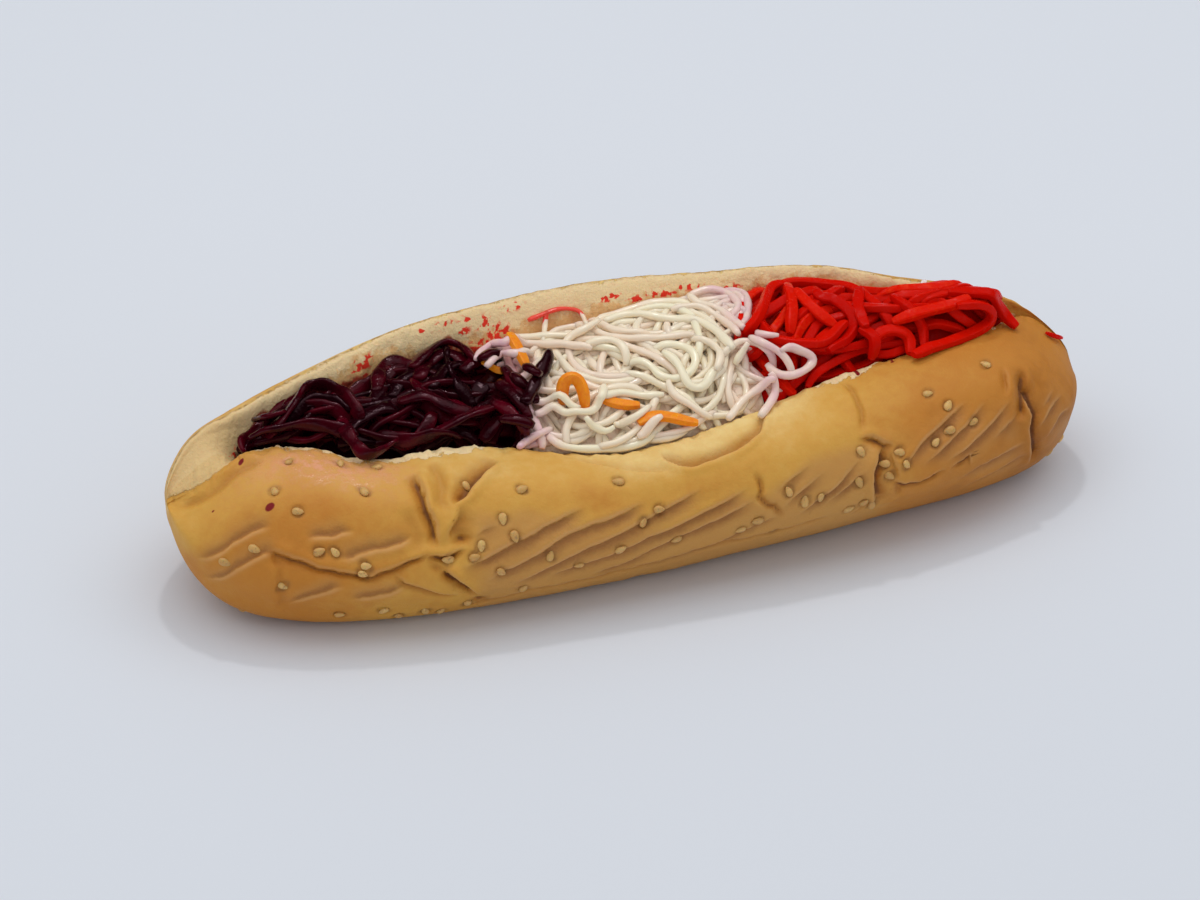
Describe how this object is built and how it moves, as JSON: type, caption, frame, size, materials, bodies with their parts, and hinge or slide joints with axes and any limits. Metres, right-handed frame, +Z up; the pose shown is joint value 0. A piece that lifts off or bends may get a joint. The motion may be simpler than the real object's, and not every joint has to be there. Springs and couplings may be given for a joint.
{
  "type": "filled hot dog roll",
  "caption": "Long sesame roll split open along its top and filled with heaps of shredded beet, white radish with carrot strips, and red carrot.",
  "frame": {"origin": "centre of the object's box, at the flat underside it rests on", "axes": "+X along the roll, +Y across it to the taller side of the slit, +Z up"},
  "size_m": [0.2278, 0.0771, 0.0478],
  "materials": {
    "bread": "soft matt golden crust with pale crumb at the slit",
    "sesame": "smooth dry seed",
    "beet": "wet, dark purple",
    "radish": "moist, slightly see-through white",
    "carrot": "moist orange",
    "red_carrot": "moist bright red"
  },
  "bodies": {
    "root": {"roll": "bread", "beet_heap": "beet", "radish_heap": "radish", "red_carrot_heap": "red_carrot"}
  },
  "joints": []
}
